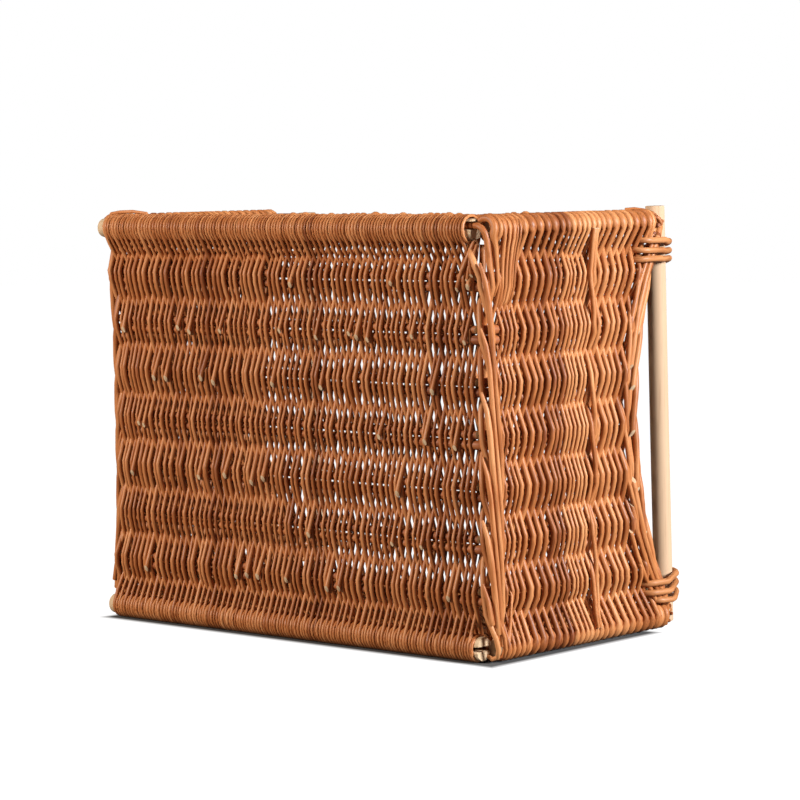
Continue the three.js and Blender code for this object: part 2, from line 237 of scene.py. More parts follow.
def addNode(tree, kind, inputs=None, **settings):
    node = tree.nodes.new("ShaderNode" + kind)
    for name, value in settings.items():
        setattr(node, name, value)
    fillInputs(tree, node, inputs or {})
    return node


def noise(tree, vector, stretch, detail=3.0, roughness=0.55):
    spot = addNode(tree, "Mapping", {"Vector": vector, "Scale": stretch}, vector_type="POINT").outputs["Vector"]
    given = {"Vector": spot, "Scale": 1.0, "Detail": detail, "Roughness": roughness}
    return addNode(tree, "TexNoise", given).outputs["Fac"]


def remap(tree, value, fromLow, fromHigh, toLow=0.0, toHigh=1.0):
    given = {"Value": value, "From Min": fromLow, "From Max": fromHigh, "To Min": toLow, "To Max": toHigh}
    return addNode(tree, "MapRange", given).outputs["Result"]


def mixColour(tree, share, first, second):
    return addNode(tree, "Mix", {0: share, 6: first, 7: second}, data_type="RGBA").outputs[2]


def math2(tree, kind, first, second=0.0):
    return addNode(tree, "Math", {0: first, 1: second}, operation=kind).outputs[0]


def newGroup(name, inputs, outputs):
    group = bpy.data.node_groups.new(name, "ShaderNodeTree")
    for way, sockets in (("INPUT", inputs), ("OUTPUT", outputs)):
        for label, kind in sockets.items():
            group.interface.new_socket(name=label, in_out=way, socket_type="NodeSocket" + kind)
    return group, group.nodes.new("NodeGroupInput").outputs, group.nodes.new("NodeGroupOutput")


def buildBarkGroup():
    group, given, out = newGroup(
        "willowBark", {"Place": "Vector", "Tone": "Float", "Pale": "Color", "Middle": "Color", "Deep": "Color"},
        {"Colour": "Color", "Streaks": "Float"})
    streaks = noise(group, given["Place"], (900, 900, 45))
    clouds = noise(group, given["Place"], (90, 90, 22), 2.0)
    scars = remap(group, noise(group, given["Place"], (420, 420, 260), 1.0), 0.70, 0.78)
    # the tone moves a strand as a whole, the clouds and streaks move along it
    shade = math2(group, "ADD", given["Tone"], remap(group, clouds, 0.3, 0.7, -0.24, 0.24))
    shade = math2(group, "ADD", shade, remap(group, streaks, 0.35, 0.65, -0.16, 0.16))
    upper = mixColour(group, remap(group, shade, 0.45, 1.0), given["Middle"], given["Pale"])
    whole = mixColour(group, remap(group, shade, 0.0, 0.5), given["Deep"], upper)
    scarred = mixColour(group, math2(group, "MULTIPLY", scars, 0.55), whole, (0.16, 0.06, 0.025, 1))
    fillInputs(group, out, {"Colour": scarred, "Streaks": streaks})
    return group


def buildCutGroup():
    group, given, out = newGroup("cutWood", {"Place": "Vector", "Pale": "Color", "Brown": "Color"},
                                 {"Colour": "Color"})
    fibres = remap(group, noise(group, given["Place"], (1100, 1100, 300), 2.0), 0.35, 0.7)
    fillInputs(group, out, {"Colour": mixColour(group, fibres, given["Pale"], given["Brown"])})
    return group


def buildGrainGroup():
    group, given, out = newGroup("peeledGrain", {"Place": "Vector", "Pale": "Color", "Line": "Color"},
                                 {"Colour": "Color", "Grain": "Float"})
    fine = noise(group, given["Place"], (700, 700, 9), 4.0, 0.6)
    broad = remap(group, noise(group, given["Place"], (150, 150, 4), 2.0), 0.35, 0.65, 0.25, 0.9)
    lines = math2(group, "MULTIPLY", remap(group, fine, 0.52, 0.72), broad)
    fillInputs(group, out, {"Colour": mixColour(group, lines, given["Pale"], given["Line"]), "Grain": fine})
    return group


barkGroup, cutGroup, grainGroup = buildBarkGroup(), buildCutGroup(), buildGrainGroup()


def newMaterial(name):
    material = bpy.data.materials.new(name)
    material.use_nodes = True
    tree = material.node_tree
    return material, tree, tree.nodes["Principled BSDF"]


def bumped(tree, height, strength, distance):
    given = {"Height": height, "Strength": strength, "Distance": distance}
    return addNode(tree, "Bump", given).outputs["Normal"]


def willowMaterial(name, look):
    material, tree, shader = newMaterial(name)
    place = addNode(tree, "Attribute", attribute_name="strandPlace").outputs["Vector"]
    tone = addNode(tree, "Attribute", attribute_name="strandTone").outputs["Fac"]
    cut = addNode(tree, "Attribute", attribute_name="cutEnd").outputs["Fac"]
    shades = {label: (*look[label], 1) for label in ("Pale", "Middle", "Deep")}
    bark = addNode(tree, "Group", {"Place": place, "Tone": tone, **shades}, node_tree=barkGroup).outputs
    woods = {"Pale": (*look["Cut"], 1), "Brown": (0.5, 0.33, 0.18, 1)}
    ends = addNode(tree, "Group", {"Place": place, **woods}, node_tree=cutGroup).outputs
    rough = remap(tree, bark["Streaks"], 0.3, 0.7, look["Smooth"], look["Smooth"] + 0.16)
    fillInputs(tree, shader, {
        "Base Color": mixColour(tree, cut, bark["Colour"], ends["Colour"]),
        "Roughness": math2(tree, "ADD", rough, math2(tree, "MULTIPLY", cut, 0.3)),
        "Specular IOR Level": 0.36, "Normal": bumped(tree, bark["Streaks"], 0.35, 0.0003)})
    return material


willowLook = {"Pale": (0.6, 0.25, 0.093), "Middle": (0.42, 0.132, 0.034), "Deep": (0.18, 0.04, 0.009),
              "Cut": (0.58, 0.41, 0.26), "Smooth": 0.4}
stakeLook = {**willowLook, "Pale": (0.48, 0.165, 0.05), "Middle": (0.32, 0.088, 0.024),
             "Deep": (0.14, 0.034, 0.01), "Smooth": 0.46}
weaveWillow = willowMaterial("weave_willow", willowLook)
borderWillow = willowMaterial("border_willow", {**willowLook, "Pale": (0.6, 0.255, 0.094)})
stakeWillow = willowMaterial("stake_willow", stakeLook)
lashWillow = willowMaterial("lashing_willow", {**willowLook, "Middle": (0.4, 0.145, 0.046)})
print("materials ready")


# How each panel turns a place along a pass, a place across the passes and a depth into a point
baseShape = {"borderFree": 8, "ease": 20, "narrowing": 10, "narrowsFrom": 130, "narrowsOver": 75, "mostOver": 9.5}
sideShape = {"tuck": 15, "tuckReach": 90, "dipShare": 0.13, "dipFrom": 40}


def basePoint(t, across, out):
    # clear of the borders the panel narrows a little at its left edge and follows the bend of the stakes
    shape = baseShape
    inner = clamp((min(t - low, high - t) - shape["borderFree"]) / shape["ease"], 0, 1)
    beyond = max(0, -shape["narrowsFrom"] - across) / shape["narrowsOver"]
    narrow = shape["narrowing"] * inner * max(0, 1 - levelShare(t) ** 2) * beyond ** 2
    over = clamp(abs(across) - (side - bend), 0, shape["mostOver"])
    drop = bend - math.sqrt(bend ** 2 - over ** 2)
    return (across + narrow, drop * inner - out, t)


def leftTuck(t, across):
    # the left side is drawn in a little towards the base
    return sideShape["tuck"] * max(0, 1 - levelShare(t) ** 4) * max(0, 1 - across / sideShape["tuckReach"])


def straightSidePoint(sign):
    def point(t, across, out):
        return (sign * (side + out - (leftTuck(t, across) if sign < 0 else 0)), across, t)
    return point


def sidePoint(sign):
    straight = straightSidePoint(sign)

    def point(t, across, out):
        # the passes follow the dip of the rim a little
        dip = sideShape["dipShare"] * max(0, across - sideShape["dipFrom"]) * (1 - min(1, levelShare(t) ** 2))
        x, y, z = straight(t, across, out)
        return (x, y - dip, z)
    return point


def longPoint(sign):
    level = high if sign > 0 else low

    def point(t, across, out):
        return (t, across, level + sign * out)
    return point


def crossed(share):
    # how far a strand is from one side of the stakes to the other: nearly straight, eased at its ends
    return (1 - 0.88 * (1 - 2 * share) - 0.12 * math.cos(math.pi * share)) / 2


def spacingAt(runs, across):
    for start, end, first, last in runs:
        if across < end:
            return first + (last - first) * (across - start) / (end - start)
    return runs[-1][3]


anywhere = (-999, 999)
contact = math.radians(20)  # where a pass leaves a border


def passPoints(panel, index, here, before, after, radius, rng):
    # one pass from the low border to the high one: (along, across, out, is it the middle of a front crossing)
    levels, half = panel["levels"], panel["pairHalf"]
    lift = (stakeRadius + radius) * panel["lift"]
    turn = [wrap - radius for wrap in panel["wrap"]]
    start, end = panel["ends"]
    front = [1 if (k + index) % 2 == 0 else -1 for k in range(-1, len(levels) + 1)]
    wander = [rng.uniform(-1, 1) * panel["wander"] for _ in levels]
    tall = [lift * rng.uniform(0.96, 1.1) for _ in levels]
    rows = []
    lowEdge = (start + turn[0] * math.sin(contact), front[0] * turn[0] * math.cos(contact))
    highEdge = (end - turn[1] * math.sin(contact), front[-1] * turn[1] * math.cos(contact))
    first = (levels[0] - half, front[1] * tall[0])
    # inner passes slant over to meet the outer ones
    lowSide = clamp(here if index % 2 else before, *panel["bare"][0])
    for share in (0.0, 0.3, 0.62):
        across = mix(here, lowSide, max(0, 1 - share / 0.8)) + wander[0] * share
        rows.append((mix(lowEdge[0], first[0], share), across, mix(lowEdge[1], first[1], share), 0))
    # over a stake or a pair of them: the place along and how far out
    bends = ((-3.6, 0.86), (-1.2, 1.03), (1.2, 1.03), (3.6, 0.86))
    if half:
        bends = ((-half - 1.8, 0.86), (-half + 0.8, 1.0), (0, 1.02), (half - 0.8, 1.12), (half + 1.8, 0.96))
    for k, level in enumerate(levels):
        out = front[k + 1] * tall[k]
        for offset, rise in bends:
            middle = 1 if front[k + 1] == panel["buttSide"] and abs(offset) < 1.5 and offset <= 0 else 0
            rows.append((level + offset, here + wander[k], out * rise, middle))
        if k + 1 < len(levels):
            nextOut = front[k + 2] * tall[k + 1]
            span = levels[k + 1] - level - 2 * half
            for share in (0.24, 0.5, 0.76):
                rows.append((level + half + span * share, here + mix(wander[k], wander[k + 1], share),
                             mix(out, nextOut, crossed(share)), 0))
    last = rows[-1]
    highSide = (before if index % 2 else here) if panel["topBack"] else here if index % 2 else after
    highSide = clamp(highSide, *panel["bare"][1])
    for share in (0.38, 0.7, 1.0):
        across = mix(here, highSide, (share - 0.2) / 0.8) + wander[-1] * (1 - share)
        rows.append((mix(last[0], highEdge[0], share), across, mix(last[2], highEdge[1], share), 0))
    return rows


def turnPoints(panel, atHigh, across, radius):
    # round a border from its outside to its inside
    centre, reach, way = panel["ends"][atHigh], panel["wrap"][atHigh] - radius, 1 if atHigh else -1
    rows = []
    for i in range(1, 9):
        angle = (math.pi + 2 * contact) * i / 9 - contact
        rows.append((centre + way * reach * math.sin(angle), across, reach * math.cos(angle), 0))
    return rows


# A panel's settings: wrap is how far out the turns lie at its low and high border and bare how far across they may
# go, fill is a pass's share of its room, swell the turns' thickness, lift how far out the passes go over the stakes,
# and downShare the share of joints on downward passes
def weavePanel(panel, seed):
    # every rod makes a few passes, thick at its butt and thin at its tip
    rng = random.Random(seed)
    at = panel["from"]
    passes, starts = [], [0]
    while at < panel["to"]:
        length = rng.choice(panel["rodPasses"])
        for i in range(length):
            size = (1 + panel["taper"] * (0.5 - (i + 0.5) / length)) * rng.uniform(0.93, 1.07)
            room = spacingAt(panel["runs"], at)
            passes.append((at, room / 4 * panel["fill"] * size))
            at += room / 2 * (0.35 + 0.65 * size)
            if at > panel["to"]:
                break
        starts.append(len(passes))
    stations = []
    for j, (here, radius) in enumerate(passes):
        before = passes[j - 1][0] if j else here
        after = passes[j + 1][0] if j + 1 < len(passes) else here
        upward = j % 2 == 0
        rows = passPoints(panel, j, here, before, after, radius, rng)
        stations += [(*row, radius, j) for row in (rows if upward else rows[::-1])]
        if j + 1 < len(passes):
            outer = here if j % 2 or panel["topBack"] else after
            bulk = radius * panel["swell"]
            turn = turnPoints(panel, upward, clamp(outer, *panel["bare"][upward]), bulk)
            stations += [(*row, bulk, j) for row in (turn[::-1] if upward else turn)]
    strands, begin, first = [], 0, None
    fronts = [i for i, s in enumerate(stations) if s[3]]
    for start in starts[1:]:
        # on a downward pass the old rod ends in its butt, on an upward one the new rod starts with it
        down = rng.random() < panel["downShare"]
        choice = [i for i in fronts if stations[i][5] == start + down]
        stop = rng.choice(choice) if choice else len(stations) - 1
        last = None if not choice else "butt" if down else "tip"
        reach = stations[max(0, begin - (2 if first == "tip" else 1)):stop + (2 if last == "butt" else 3)]
        strands += rodFrom(panel, reach, first, last, rng)
        if not choice:
            break
        begin, first = stop, "tip" if down else "butt"
    rings = []  # more turns round the borders, between those of the passes
    for j in range(0, len(passes), 2) if panel["rings"] else ():
        for end in (0, 1):
            here, radius = passes[min(j + 1, len(passes) - 1) if end else j]
            radius *= panel["swell"]
            least, most = panel["bare"][end]
            if not least < here < most:
                continue
            centre, reach, tilt = panel["ends"][end], panel["wrap"][end] - radius, rng.uniform(-0.5, 0.5)
            ring = [panel["place"](centre + reach * math.sin(a), here + tilt * math.cos(a), reach * math.cos(a))
                    for a in circle(14)]
            rings.append(strand(ring, radius * rng.uniform(0.98, 1.05), rng, tone=rng.gauss(0.62, 0.1), loop=True))
    return strands, rings


def buttEnd(panel, part, rng):
    # the cut butt leans across its neighbours, straight and a little proud; part goes up from the joint
    t, across, out, _, radius, _ = part[0]
    butt, way = clamp(radius * 1.05, 1.6, 2.1), 1 if out > 0 else -1
    top = next((i for i, row in enumerate(part) if row[2] * way < abs(out) * 0.1), 6)
    startT, startOut = t + rng.uniform(-3.5, 1.5), out + way * panel["buttProud"]
    endT, endOut = part[top][0], part[top][2]
    aside = panel["buttLean"] * rng.uniform(0.2, 1.4)
    rows = []
    for i in range(7):
        share = i / 6
        rows.append((mix(startT, endT, share), across - aside * (1 - share), mix(startOut, endOut, share),
                     butt * (1.08 - 0.08 * share)))
    for i, (t, across, out, _, radius, _) in enumerate(part[top + 1:top + 5]):
        rows.append((t, across, out, mix(radius, butt, (4 - i) / 5)))
    return rows, top + 5


def rodFrom(panel, part, first, last, rng):
    # first and last are "butt", a cut end that shows, "tip", a thin end under another rod, or nothing
    place, limit = panel["place"], panel.get("limit")
    head, foot = [], []
    if first == "butt":
        head, used = buttEnd(panel, part, rng)
        part = part[used:]
    if last == "butt":
        foot, used = buttEnd(panel, part[::-1], rng)
        part = part[:len(part) - used]
    body = []
    for i, (t, across, out, _, radius, _) in enumerate(part):
        near = max(7 - i if first == "tip" else 0, i - len(part) + 8 if last == "tip" else 0)
        if near > 0:
            out, radius = out * (1 - 0.35 * near / 7), radius * (1 - 0.2 * near / 7)
        body.append((t, across, out, radius))
    points, radii, pieces = [], [], []
    for t, across, out, radius in head + body + foot[::-1]:
        spot = place(t, across, out)
        if limit and spot[1] > limit(t):
            if len(points) > 3:
                pieces.append((points, radii))
            points, radii = [], []
            continue
        points.append(spot)
        radii.append(radius)
    if len(points) > 3:
        pieces.append((points, radii))
    made, tone = [], rng.gauss(0.56, 0.15)
    facing = (Vector(place(0, 0, 1)) - Vector(place(0, 0, 0))).normalized()
    for points, radii in pieces:
        cuts = [(end, tuple(facing), 1.1) for end in (0, -1)]
        made.append(strand(points, radii, rng, tone=tone + rng.uniform(-0.04, 0.04), cuts=cuts))
    return made


# Wales: rods that run over two stakes and behind one
def waleRods(panel, wale, seed):
    rng = random.Random(seed)
    place, levels, half = panel["place"], panel["levels"], panel["pairHalf"]
    strands, none = [], ((), (), ())
    for m in range(3):
        points = [place(*spot) for spot in wale.get("heads", none)[m]]
        for k in range(len(levels))[::-1]:
            phase = (len(levels) - 1 - k + m) % 3
            across = wale["across"](levels[k]) + wale["shift"][phase]
            out = wale["outs"][phase] + rng.uniform(-0.2, 0.2)
            for offset in (half, -half):
                lean = wale["lean"] * (0 if phase == 2 else -offset / 10)
                points.append(place(levels[k] + offset, across + lean, out))
            if k:
                nextPhase = (phase + 1) % 3
                nextAcross = wale["across"](levels[k - 1]) + wale["shift"][nextPhase]
                nextOut = wale["outs"][nextPhase]
                bow = wale["radius"] * 0.35 if phase == 0 else 0
                for share in (0.25, 0.5, 0.75):
                    aside = wale["via"] * math.sin(math.pi * share) if phase == 2 else 0
                    points.append(place(mix(levels[k] - half, levels[k - 1] + half, share),
                                        mix(across, nextAcross, share) + aside,
                                        mix(out, nextOut, crossed(share)) + bow))
        feet = wale.get("feet", none)[m]
        points += [place(*spot) for spot in feet]
        count = len(points)
        radii = [wale["radius"] * (1.06 - 0.16 * i / count) * rng.uniform(0.98, 1.02) for i in range(count)]
        for i in range(len(feet)):
            radii[-1 - i] *= 0.8 + 0.2 * i / len(feet)
        strands.append(strand(points, radii, rng))
    return strands


# Base panel
pairPanel = {"levels": pairLevels, "pairHalf": pairHalf, "ends": (low, high), "wrap": basket["borderWrap"]}
baseWeave = {
    **pairPanel, "place": basePoint, "bare": ((-201, 208.5), (-202.5, 202.5)), "rings": True, "topBack": True,
    "wander": 1.0, "lift": 0.93, "taper": 0.6, "fill": 1.07, "swell": 0.85,
    "rodPasses": (2, 2, 4, 4, 4), "downShare": 0.5, "buttSide": 1, "buttLean": 1.6, "buttProud": 3.0,
    "from": -204.5, "to": 206,
    "runs": [(-205, -150, 6.0, 7.0), (-150, -92, 7.2, 5.6), (-92, -40, 6.8, 5.6), (-40, 18, 6.8, 5.5),
             (18, 70, 6.5, 5.7), (70, 128, 6.8, 5.4), (128, 212, 6.4, 5.8)],
}
strands, rings = weavePanel(baseWeave, 11)
# rods whose cut ends lie over the weave below the near corner: (x, z) of their start and end, and the radius
for start, end, radius in (((206.5, high - 9), (193, high - 47), 1.9), ((209, high - 12), (203.5, high - 40), 1.5),
                           ((204, high - 10), (207.5, high - 36), 1.4)):
    points = [basePoint(mix(start[1], end[1], i / 8), mix(start[0], end[0], i / 8), 1 + 6.2 * min(1, i / 5))
              for i in range(9)]
    strands.append(strand(points, radius, random.Random(13), cuts=[(-1, (0, -1, 0), 1.1)]))
# a loose end on top of the upper border, at its left
loose = [(-211, 2, high + 7), (-205, 1, high + 12), (-195, 1, high + 13.4), (-180, 2, high + 13.9),
         (-163, 3, high + 12.4)]
strands.insert(0, strand(loose, [1.7, 1.7, 1.6, 1.5, 1.2], random.Random(14), tone=0.6, pale=0))
half = len(strands) // 2
makeStrands("base_weavers_left", strands[:half], weaveWillow, ["base_weave"])
makeStrands("base_weavers_right", strands[half:], weaveWillow)
makeStrands("base_border_turns", rings, weaveWillow)

# Short sides
sideWeave = {
    **pairPanel, "bare": ((-999, 224), (-999, 207)), "limit": lambda z: dippedRim(z) - 14,
    "rings": False, "topBack": False,
    "wander": 0.8, "lift": 1.0, "taper": 0.25, "fill": 1.03, "swell": 1.82,
    "rodPasses": (4, 6, 6), "downShare": 0, "buttSide": -1, "buttLean": 1.0, "buttProud": 0.6,
    "from": 12, "to": 222,
    "runs": [(12, 34, 5.6, 6.2), (34, 80, 9.8, 9.4), (80, 120, 7.6, 5.8), (120, 142, 6.4, 7.0),
             (142, 220, 9.4, 8.6)],
}
cornerWale = {
    "across": lambda z: 0, "shift": (-2.6, 3.4, 8.0), "outs": (-1.2, 5.0, -8.2),
    "radius": 2.5, "lean": 1.4, "via": -2.5,
    "heads": (
        [(high - 4, 7, -17), (high - 13, 0, -13), (high - 20, -4.6, -8.5), (high - 28, -5.4, -4.5)],
        [(high + 2.9, 0, -30), (high + 2.9, 0, -20), (high + 2.9, -0.6, -9), (high + 2.6, -2.4, -3),
         (high + 1, -2.6, 0.8), (high - 3, -1.4, 3), (high - 8, -0.4, 4), (high - 18, 0.6, 4.4),
         (high - 30, 1.8, 4.8)],
        [(high - 12, 9, -8)]),
    "feet": (
        [(low + 28, -3.4, 1), (low + 18, -1.6, 4.6), (low + 9, 0.6, 7.6), (low, 2.2, 8.8), (low - 6.2, 3.4, 6.4),
         (low - 8.4, 4.6, 0), (low - 5.5, 6, -7)],
        [(low + 28, 4.4, 5.8), (low + 18, 6.4, 7.6), (low + 9, 8.6, 9.2), (low, 9.8, 9.4), (low - 6.2, 10.6, 6.6),
         (low - 8.4, 11.4, 0), (low - 5.5, 12, -8)],
        [(low + 24, 10, -7), (low + 10, 12, -8.5)]),
}
farCornerWale = {  # the far corner is plainer
    **cornerWale,
    "heads": ([(high - 9.5, 0, -6), (high - 19, 0, -7)], [(high - 10, 8, -9)], [(high - 10, 8, -9)]),
    "feet": ([(low + 26, -1, -4.5), (low + 15, 0.5, -4), (low + 9.5, 0.5, -4)], [(low + 12, 6, 2)],
             [(low + 10, 8, -9)]),
}
rimWale = {"across": lambda z: dippedRim(z) - 15.5, "shift": (-1.6, 2.0, 0), "outs": (5.5, 5.6, -5.5),
           "radius": 2.1, "lean": 0.8, "via": 0}
seam = [[(high - 2, across, 11.6), (high - 14, across, 9.4)] for across in (125.5, 128.5)]
seamWale = {"across": lambda z: 127.5, "shift": (-2.4, 1.8, 0), "outs": (6.9, 7.3, -6.4),
            "radius": 2.15, "lean": 1.2, "via": 0, "heads": seam + [[]],
            "feet": [[(low + high - t, across, out) for t, across, out in way[::-1]] for way in seam] + [[]]}
# down from the border beside the near corner: the place across at the start and the end, and the radius
borderStrands = ((11, 15.5, 1.9), (18, 19.5, 1.5), (24.5, 23, 1.8), (29, 25.5, 1.1), (33.5, 28, 1.2))
borderFall = ((10.2, 0), (9.6, 5.2), (5.6, 10.2), (0, 12.2), (-7, 11.6), (-14, 9.8), (-24, 8.2), (-34, 7.4),
              (-45, 6.6), (-55, 3.5), (-63, -1))
# along the top of the rim's corner, over the end of the handle
overHandle = [(198, 203, high + 10.6), (204, 208, high + 11), (210, 213, high + 9.8), (215, 218, high + 7.4),
              (219, 222, high + 3), (220.5, 224, high - 2)]
# a rope of corner strands: each comes out at the base's edge, slants away from it and goes back in lower down
rope = {"from": high - 26, "pitch": 50, "radii": (2.5, 2.1, 2.4, 2.0, 2.5, 2.2),
        "lay": ((0, -5.5, 0.5), (14, -4.6, 5), (32, -3, 7), (60, -0.6, 7.8), (90, 2.4, 8.1), (120, 5.6, 8.1),
                (150, 8.8, 7.6), (172, 11, 6.2), (186, 12.2, 2.5), (196, 12.8, -2))}
# stakes that run out along the dip: how far from the border they are, and how far past the rim's middle
splay = (((118, -9), (95, -9), (70, -8.5), (45, -6.5), (28, -5), (11, -4)),
         ((98, -15), (74, -16), (50, -14), (30, -11), (13, -9)), ((76, -23), (55, -23), (35, -20), (15, -16)))
# the first turn round each post goes on as a thin strand: level, across, radius, way on and how far out it lies
postTurns = ((high, 3.0, 3.3, -1, 12.2), (low, 15.5, 2.2, 1, 11.0))
postTails = ((14, 7.0, 2.6, 0.8), (26, 6.6, 4.6, 0.6), (40, 6.4, 6.2, 0.5), (52, 1.0, 7.4, 0.44))
for label, sign in shortSides:
    near = sign > 0
    strands = weavePanel({**sideWeave, "place": sidePoint(sign)}, 21 if near else 22)[0]
    straight = {**sideWeave, "place": straightSidePoint(sign)}
    strands += waleRods(straight, cornerWale if near else farCornerWale, 31)
    strands += waleRods(straight, rimWale, 32) + waleRods(straight, seamWale, 37)[:2]
    if near:
        for start, end, radius in borderStrands:
            points = [(side + out - radius * 0.5, mix(start, end, i / 10), high + up)
                      for i, (up, out) in enumerate(borderFall)]
            strands.append(strand(points, radius, random.Random(int(start)), pale=0))
        strands.append(strand(overHandle, [2, 2.1, 2.1, 2, 1.7, 1.3], random.Random(36), tone=0.5, pale=0))
    aside, sunk = (0, 0) if near else (5, 3.4)  # the rope lies flatter on the far corner
    for k, radius in enumerate(rope["radii"]):
        top = rope["from"] - rope["pitch"] * k
        path = [straight["place"](top - down, across + aside + 0.5 * math.sin(down * 0.05 + k), out - sunk)
                for down, across, out in rope["lay"] if top - down > low - 2]
        path = inBetween(path, 3)
        radii = [radius * min(1, 0.5 + 0.13 * i) for i in range(len(path))]
        strands.append(strand(path, radii, random.Random(60 + k), tone=0.5 + 0.06 * (k * 2 % 5), pale=0))
    for level, way, count in ((low, 1, 3), (high, -1, 2)):  # the splayed stakes
        for spots, radius in zip(splay[:count], (2.6, 2.3, 2.0)):
            points = [(sign * (side + (6.2 if i else 4.7)), dippedRim(level + way * up) + over, level + way * up)
                      for i, (up, over) in enumerate(spots)]
            strands.append(strand(inBetween(points, 3), radius, random.Random(int(40 + radius * 10)),
                                  cuts=[(0, (sign, 0, 0), 1.2)], pale=0.8))
    for level, across, radius, way, wrap in postTurns:
        arc, sizes, reach = [], [], wrap - radius
        for i in range(13):
            angle = math.radians(-70 + 190 * i / 12)
            arc.append((sign * (side + reach * math.sin(angle)), across + 0.6 * math.cos(angle),
                        level - way * reach * math.cos(angle)))
            sizes.append(radius)
        for down, out, over, size in postTails:
            arc.append((sign * (side + out), across + over, level + way * down))
            sizes.append(radius * size)
        if near or level == low:
            strands.append(strand(arc, sizes, random.Random(33), tone=0.6))
    for level, across, radius in ((high, 9.6, 2.4), (low, 215.5, 3.7), (low, 222.6, 3.2)):
        reach = basket["borderWrap"][level == high] - radius
        ring = [(sign * (side + reach * math.sin(a)), across + 0.4 * math.cos(a), level + reach * math.cos(a))
                for a in circle(16)]
        strands.append(strand(ring, radius, random.Random(int(across)), tone=0.55, loop=True))
    makeStrands(f"short_side_weavers_{label}", strands, weaveWillow, [f"short_side_weave_{label}"])

# Long sides
longWeave = {
    "levels": longPlaces, "pairHalf": 0, "ends": (-200, 200), "wrap": (6.4, 6.4), "bare": (anywhere, anywhere),
    "rings": False, "topBack": False, "wander": 0.6, "lift": 1.06, "taper": 0.6, "fill": 1.12, "swell": 0.9,
    "rodPasses": (2, 2, 4), "downShare": 0.5, "buttSide": 1, "buttLean": 1.5, "buttProud": 0.8, "from": 14,
    "runs": [(12, 70, 8.8, 6.6), (70, 120, 8.4, 6.2), (120, 172, 8.4, 6.6), (172, 230, 8.6, 7.2)],
}
for label, sign, level, seed in (("upper", 1, high, 41), ("lower", -1, low, 42)):
    strands, _ = weavePanel({**longWeave, "place": longPoint(sign), "to": straightRim(level) - 9}, seed)
    makeStrands(f"long_side_weavers_{label}", strands, weaveWillow, [f"long_side_weave_{label}"])
print("weaving done")


# Sticks and stakes
def rod(points, radius, rng, taper=0.95):
    # a nearly straight rod with a point about every 14 mm, a slight bow and a taper
    path = [Vector(p) for p in points]
    dense = [path[0]]
    for a, b in zip(path, path[1:]):
        parts = max(1, round((b - a).length / 14))
        dense += [a.lerp(b, (i + 1) / parts) for i in range(parts)]
    count = len(dense)
    for i in range(1, count - 1):
        dense[i] += Vector([rng.uniform(-0.12, 0.12) for _ in range(3)])
    radii = [radius * mix(1, taper, i / (count - 1)) * rng.uniform(0.985, 1.015) for i in range(count)]
    return strand(dense, radii, rng)


rng = random.Random(5)
baseReach = side - basket["postRadius"]
pairRadius = 3.95  # the two of a pair touch
turnStart = side - bend
gap = turnStart - basket["stakeInsert"] - 0.5
sticks = []
for z in pairLevels:
    for start, end, level in ((leftTuck(z, 0) - baseReach, baseReach, z + pairHalf), (-gap, gap, z - pairHalf)):
        sticks.append(rod([(start, 0, level), (end, 0, level)], stakeRadius, rng, taper=0.99))
makeStrands("base_sticks", sticks, stakeWillow, numbered("base_stick", basket["pairs"]))

for label, sign in shortSides:
    stakes = []
    for z in pairLevels:
        tucked = leftTuck(z, 0) if sign < 0 else 0
        for offset, start in ((-pairHalf, turnStart - basket["stakeInsert"]), (pairHalf, baseReach + 0.3 - tucked)):
            points = [(sign * start, 0, z + offset)]
            for i in range(7):
                angle = math.pi / 2 * i / 6
                across = turnStart + bend * math.sin(angle) - tucked
                if across > start + 1:
                    points.append((sign * across, bend * (1 - math.cos(angle)), z + offset))
            if tucked:
                points.append((sign * (side - leftTuck(z, 45)), 45, z + offset))
                points.append((sign * side, 92, z + offset))
            points.append((sign * side, dippedRim(z) - 9, z + offset))
            stakes.append(rod(points, pairRadius, rng, taper=0.94))
    makeStrands(f"side_stakes_{label}", stakes, stakeWillow,
                numbered(f"side_stake_{label}", basket["pairs"]))

stickEdge = basket["edgeStickRadius"] + basket["clearance"]
for label, z, postEnd in (("lower", low, 226), ("upper", high, 214)):
    stakes = [rod([(x, stickEdge, z), (x, straightRim(z) - 8.3, z)], stakeRadius, rng) for x in longPlaces]
    makeStrands(f"long_side_stakes_{label}", stakes, stakeWillow,
                numbered(f"long_side_stake_{label}", basket["longStakes"]))
    posts = [rod([(x, stickEdge, z), (x, postEnd, z)], basket["postRadius"], rng) for x in (-side, side)]
    makeStrands(f"corner_posts_{label}", posts, stakeWillow,
                [f"corner_post_{label}_left", f"corner_post_{label}_right"], sides=16)


def roundBar(radius, segments, turned, way, steps):
    # from the origin along way, with one ring of faces for each step
    bm = bmesh.new()
    bmesh.ops.create_circle(bm, cap_ends=True, segments=segments, radius=radius * mm)
    bmesh.ops.rotate(bm, verts=bm.verts, matrix=turned)
    face = bm.faces[:]
    for i in range(steps):
        grown = bmesh.ops.extrude_face_region(bm, geom=face)
        verts = [g for g in grown["geom"] if isinstance(g, bmesh.types.BMVert)]
        bmesh.ops.translate(bm, verts=verts, vec=way / steps * mm)
        if i:
            bmesh.ops.delete(bm, geom=face, context="FACES_ONLY")
        face = [g for g in grown["geom"] if isinstance(g, bmesh.types.BMFace)]
    return bm


def easeRims(bm, offset):
    bmesh.ops.recalc_face_normals(bm, faces=bm.faces)
    rims = [e for e in bm.edges if e.calc_face_angle(0) > 1.2]
    bmesh.ops.bevel(bm, geom=rims, offset=offset * mm, segments=2, profile=0.5, affect="EDGES", material=-1)


def asMesh(bm, name):
    mesh = bpy.data.meshes.new(name)
    bm.to_mesh(mesh)
    bm.free()
    return mesh


